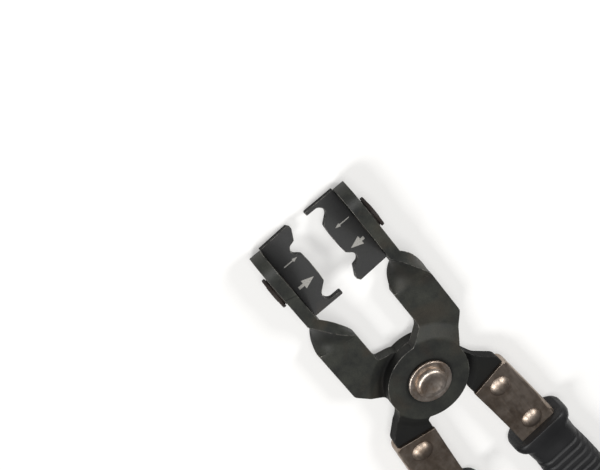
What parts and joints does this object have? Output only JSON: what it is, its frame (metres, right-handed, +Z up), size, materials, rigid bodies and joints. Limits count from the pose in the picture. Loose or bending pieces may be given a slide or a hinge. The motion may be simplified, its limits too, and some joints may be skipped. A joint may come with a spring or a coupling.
{
  "type": "hose clamp pliers",
  "caption": "Hose clamp pliers with twisted, riveted plate arms, channel handles, sleeve grips and notched jaws that swivel on the arm ends.",
  "frame": {"origin": "centre of the flat back head of the pivot rivet, on the surface that the tool lies on", "axes": "+X forward from the pivot to the jaws, +Y to the left jaw, +Z up, along the pivot"},
  "size_m": [0.2171, 0.0618, 0.0143],
  "materials": {
    "dark_steel": "matte grey-black phosphate, worn bright on the corners",
    "black_oxide_steel": "satin black oxide",
    "nickel_plate": "satin nickel plating",
    "grip_plastic": "soft matte black plastic"
  },
  "bodies": {
    "rear_lever": {"rear_arm": "dark_steel", "pivot_rivet": "nickel_plate", "pivot_washer_front": "nickel_plate", "pivot_washer_back": "nickel_plate", "right_channel": "nickel_plate", "right_front_rivet": "nickel_plate", "right_rear_rivet": "nickel_plate", "right_grip": "grip_plastic"},
    "front_lever": {"front_arm": "dark_steel", "left_channel": "nickel_plate", "left_front_rivet": "nickel_plate", "left_rear_rivet": "nickel_plate", "left_grip": "grip_plastic"},
    "left_swivel": {"left_jaw": "dark_steel", "left_swivel_bush": "black_oxide_steel", "left_friction_washer": "black_oxide_steel", "left_spring_washer": "black_oxide_steel"},
    "right_swivel": {"right_jaw": "dark_steel", "right_swivel_bush": "black_oxide_steel", "right_friction_washer": "black_oxide_steel", "right_spring_washer": "black_oxide_steel"}
  },
  "joints": [
    {"name": "pivot", "type": "hinge", "parent": "rear_lever", "child": "front_lever", "pos_m": [0, 0, 0.00704], "axis": [0, 0, -1], "range_deg": [-3.5, 18]},
    {"name": "left_jaw_swivel", "type": "hinge", "parent": "rear_lever", "child": "left_swivel", "pos_m": [0.0625, 0.01645, 0.00704], "axis": [0, 1, 0], "continuous": true},
    {"name": "right_jaw_swivel", "type": "hinge", "parent": "front_lever", "child": "right_swivel", "pos_m": [0.0625, -0.01645, 0.00704], "axis": [0, 1, 0], "continuous": true}
  ]
}
